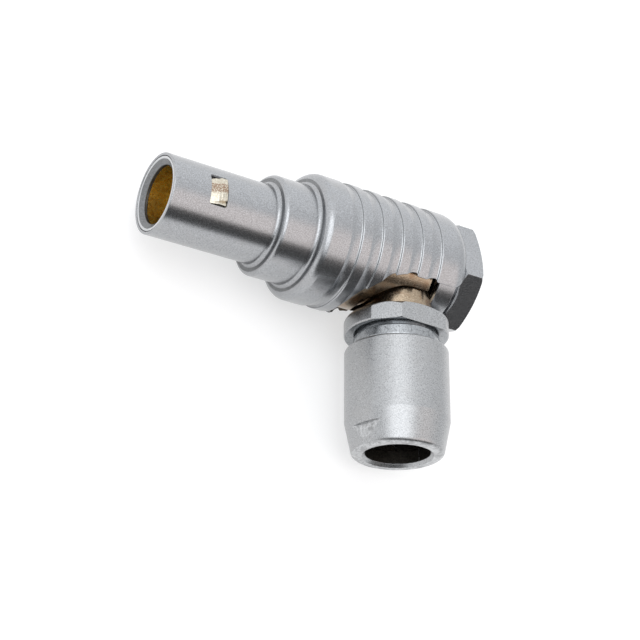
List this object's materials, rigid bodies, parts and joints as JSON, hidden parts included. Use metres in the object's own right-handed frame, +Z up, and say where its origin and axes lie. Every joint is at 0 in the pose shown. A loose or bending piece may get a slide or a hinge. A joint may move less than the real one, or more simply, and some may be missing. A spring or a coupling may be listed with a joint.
{
  "type": "right-angle push-pull circular connector plug",
  "caption": "Right-angle push-pull coaxial plug: grooved release sleeve with latch windows in its nose, hex rear cap, and an elbow outlet with a collet nut for the cable.",
  "frame": {"origin": "centre of the nose's mouth, on the plug axis", "axes": "+X from the mouth back along the plug to the rear cap, -Y along the elbow out of the cable outlet, +Z up as the plug lies on its side"},
  "size_m": [0.0392, 0.0304, 0.0146],
  "materials": {
    "satin_chrome": "satin chrome over nickel, finely blasted",
    "bright_nickel": "polished nickel",
    "latch_nickel": "rough tumbled nickel, slightly yellow",
    "nickel_brass": "nickel plated brass, yellowish, satin",
    "gold_plate": "gold plated",
    "insulator": "fluoropolymer, matte white"
  },
  "bodies": {
    "core": {"latch_carrier": "bright_nickel", "outer_contact": "gold_plate", "front_insulator": "insulator", "centre_contact": "gold_plate", "mid_insulator": "insulator", "insert_ring": "nickel_brass", "inner_housing": "nickel_brass", "elbow_body": "nickel_brass", "rear_insulator": "insulator", "elbow_terminal": "gold_plate", "neck_insulator": "insulator", "access_plug": "nickel_brass", "outlet_body": "satin_chrome", "ground_cone": "nickel_brass", "braid_ring": "nickel_brass", "collet": "nickel_brass", "collet_nut": "satin_chrome"},
    "sleeve": {"outer_shell": "satin_chrome", "rear_cap": "satin_chrome"},
    "upper_latch": {"latch_upper": "latch_nickel"},
    "lower_latch": {"latch_lower": "latch_nickel"}
  },
  "joints": [
    {"name": "sleeve_slide", "type": "slide", "parent": "core", "child": "sleeve", "axis": [1, 0, 0], "range_m": [0, 0.001], "stiffness_N_per_m": 1500, "springref_m": -0.0004},
    {"name": "upper_latch_pivot", "type": "hinge", "parent": "core", "child": "upper_latch", "pos_m": [0.0122, 0, 0.00377], "axis": [0, -1, 0], "range_deg": [0, 2.4]},
    {"name": "lower_latch_pivot", "type": "hinge", "parent": "core", "child": "lower_latch", "pos_m": [0.0122, 0, -0.00377], "axis": [0, 1, 0], "range_deg": [0, 2.4]}
  ],
  "couplings": [
    {"joint": "upper_latch_pivot", "follows": "sleeve_slide", "rad_per_m": 40},
    {"joint": "lower_latch_pivot", "follows": "sleeve_slide", "rad_per_m": 40}
  ]
}
